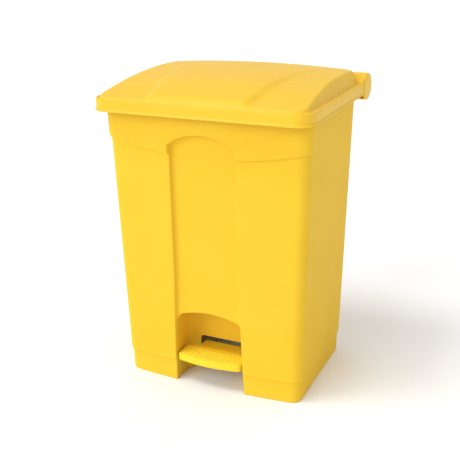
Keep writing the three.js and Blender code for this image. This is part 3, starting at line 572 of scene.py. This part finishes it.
def pedal_shape(x, y, z):
    under = LEVER_TOP + LEVER_GAP
    bow = PEDAL_BOW * np.clip(1 - (x / (PEDAL_HALF - 2)) ** 2, 0, 1)
    front = PEDAL_FRONT + PEDAL_BOW - bow
    outline = meet(plan(x, y, PEDAL_HALF, front, FAR, 8), y - PLATE_REAR, 20)
    top = PEDAL_TOP + (PEDAL_RIB_TOP - PEDAL_TOP) * ribs(x, y - front)
    solid = meet(outline, meet(PEDAL_LOW - z, z - top, 2.5), 2.5)
    tongue_top = PEDAL_TOP - TONGUE_SINK - TONGUE_FALL * smooth(y, *TONGUE_FALL_Y)
    tongue = meet(np.abs(x) - TONGUE_HALF, slab(y, TONGUE_FRONT, PEDAL_REAR), 2)
    tongue = meet(tongue, meet(under - z, z - tongue_top, 1), 1.5)
    solid = join(solid, tongue, 2)
    hollow = plan(x, y, PEDAL_HALF - PEDAL_WALL, front + PEDAL_WALL, PLATE_REAR - PEDAL_WALL, 7)
    lever_way = np.maximum(np.abs(x) - LEVER_WAY_HALF, slab(y, *LEVER_WAY_Y))
    hollow = np.maximum(np.minimum(hollow, lever_way), z - under)
    solid = cut(solid, hollow, 0.8)
    for at in SCREW_YS:
        hole = np.hypot(np.abs(x) - SCREW_X, y - at) - SCREW_HOLE
        solid = cut(solid, np.maximum(hole, z - PEDAL_TOP + SCREW_SKIN), 0.3)
    return solid


def make_pedal():
    half_x = stations((0, 58, 2), (58, 77, 1.1))
    y = stations((-176.5, -118, 0.6), (-118, -72, 1.4))
    z = stations((PEDAL_LOW - 2, PEDAL_TOP - 3, 1.5), (PEDAL_TOP - 3, PEDAL_RIB_TOP + 1, 0.7))
    return mesh_shape("moulded_pedal", pedal_shape, half_x, y, z)


# ---- Materials ----

# Colour, specular level and roughness of each moulding.
BODY_FINISH = (0.80, 0.511, 0.031), 0.12, 0.57
LID_FINISH = (0.815, 0.508, 0.027), 0.28, 0.45
# The pedal is the same plastic as the body. Its colour is painted lighter to make up for the shade it sits in
# under the niche.
PEDAL_FINISH_PAINTED_LIGHTER = (0.89, 0.630, 0.030), 0.2, 0.5


def link(material, start, end):
    material.node_tree.links.new(start, end)


def noise(material, coords, scale, detail=3.0, roughness=0.5):
    node = material.node_tree.nodes.new("ShaderNodeTexNoise")
    node.inputs["Scale"].default_value = scale
    node.inputs["Detail"].default_value = detail
    node.inputs["Roughness"].default_value = roughness
    link(material, coords, node.inputs["Vector"])
    return node.outputs["Fac"]


def remap(material, value, low, high, out_low, out_high):
    node = material.node_tree.nodes.new("ShaderNodeMapRange")
    link(material, value, node.inputs["Value"])
    for name, number in zip(("From Min", "From Max", "To Min", "To Max"), (low, high, out_low, out_high)):
        node.inputs[name].default_value = number
    return node.outputs["Result"]


def blend_colour(material, share, first, second):
    node = material.node_tree.nodes.new("ShaderNodeMix")
    node.data_type = "RGBA"
    link(material, share, node.inputs["Factor"])
    for socket, colour in ((node.inputs["A"], first), (node.inputs["B"], second)):
        if isinstance(colour, tuple):
            socket.default_value = colour
        else:
            link(material, colour, socket)
    return node.outputs["Result"]


def bump(material, height, distance, strength=1.0, under=None):
    node = material.node_tree.nodes.new("ShaderNodeBump")
    node.inputs["Distance"].default_value = distance
    node.inputs["Strength"].default_value = strength
    link(material, height, node.inputs["Height"])
    if under is not None:
        link(material, under, node.inputs["Normal"])
    return node.outputs["Normal"]


def new_material(name):
    material = bpy.data.materials.new(name)
    material.use_nodes = True
    coords = material.node_tree.nodes.new("ShaderNodeTexCoord").outputs["Object"]
    return material, material.node_tree.nodes["Principled BSDF"], coords


def vary_roughness(material, shader, pattern, pattern_range, roughness_range):
    """Lets the roughness follow a pattern."""
    roughness = remap(material, pattern, *pattern_range, *roughness_range)
    link(material, roughness, shader.inputs["Roughness"])


def moulded_plastic(name, colour, gloss, roughness):
    """Satin moulded polyethylene: faint clouding of the colour, spark-eroded grain and slow ripples."""
    material, shader, coords = new_material(name)
    clouds = remap(material, noise(material, coords, 9, 4, 0.55), 0.3, 0.7, 0, 1)
    deeper = tuple(channel * share for channel, share in zip(colour, (0.965, 0.95, 0.8)))
    base = blend_colour(material, clouds, (*colour, 1), (*deeper, 1))
    link(material, base, shader.inputs["Base Color"])
    wear = noise(material, coords, 60, 4, 0.6)
    vary_roughness(material, shader, wear, (0.3, 0.7), (roughness - 0.05, roughness + 0.05))
    ripple = bump(material, noise(material, coords, 14, 2, 0.4), 0.0012, 0.25)
    grain = bump(material, noise(material, coords, 1400, 2, 0.6), 0.00012, 0.35, ripple)
    link(material, grain, shader.inputs["Normal"])
    shader.inputs["Specular IOR Level"].default_value = gloss
    return material


def zinc_plate(name):
    """Bright zinc plating over drawn steel, with a fine grain and a blotchy passivation film."""
    material, shader, coords = new_material(name)
    blotch = remap(material, noise(material, coords, 45, 5, 0.6), 0.3, 0.75, 0, 1)
    cool = (0.60, 0.61, 0.63, 1)
    warm = (0.558, 0.549, 0.5166, 1)
    link(material, blend_colour(material, blotch, cool, warm), shader.inputs["Base Color"])
    vary_roughness(material, shader, noise(material, coords, 160, 3, 0.7), (0.25, 0.75), (0.24, 0.46))
    grain = bump(material, noise(material, coords, 700, 3, 0.6), 0.0001, 0.3)
    link(material, grain, shader.inputs["Normal"])
    shader.inputs["Metallic"].default_value = 1.0
    return material


def black_nylon(name):
    """Black moulded nylon with a fine matt grain."""
    material, shader, coords = new_material(name)
    clouds = noise(material, coords, 80, 3)
    base = blend_colour(material, clouds, (0.018, 0.018, 0.02, 1), (0.034, 0.034, 0.036, 1))
    link(material, base, shader.inputs["Base Color"])
    vary_roughness(material, shader, noise(material, coords, 300, 3), (0.3, 0.7), (0.42, 0.6))
    grain = bump(material, noise(material, coords, 1500, 2), 0.0001, 0.4)
    link(material, grain, shader.inputs["Normal"])
    return material


# ---- Assembly ----

SLOT_LOOKS = {"steel": zinc_plate, "zinc_fixings": zinc_plate, "black_nylon": black_nylon}
WELD_WITHIN = 0.00001  # metres
BEVEL_WIDTH = 0.0004


def dress_hardware(replaced):
    """Gives every CAD node that stays on show its material and a small bevel."""
    slots = {entry["node"]: entry["material_slot"] for entry in frame["record"]["subparts"]}
    looks = {slot: make(f"look_{slot}") for slot, make in SLOT_LOOKS.items()}
    for name, node in frame["nodes"].items():
        if name in replaced:
            continue
        node.data.materials.clear()
        node.data.materials.append(looks[slots[name]])
        weld = node.modifiers.new("weld", "WELD")
        weld.merge_threshold = WELD_WITHIN
        bevel = node.modifiers.new("bevel", "BEVEL")
        bevel.width = BEVEL_WIDTH
        bevel.segments = 2
        bevel.limit_method = "ANGLE"
        bevel.angle_limit = math.radians(40)
        node.modifiers.new("normals", "WEIGHTED_NORMAL")
        node.data.polygons.foreach_set("use_smooth", np.ones(len(node.data.polygons), bool))


def place(piece, body, node, material):
    piece.data.materials.append(material)
    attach(piece, body)
    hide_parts(node)


make_camera()
make_light()
make_floor()
place(make_body(), "bin", "body_shell", moulded_plastic("look_body", *BODY_FINISH))
place(make_lid(), "lid", "lid_shell", moulded_plastic("look_lid", *LID_FINISH))
# The pedal's colour is painted lighter than the body's to offset the shade under the niche.
place(make_pedal(), "lever", "pedal_tread", moulded_plastic("look_pedal_painted_lighter", *PEDAL_FINISH_PAINTED_LIGHTER))
dress_hardware(("body_shell", "lid_shell", "pedal_tread"))
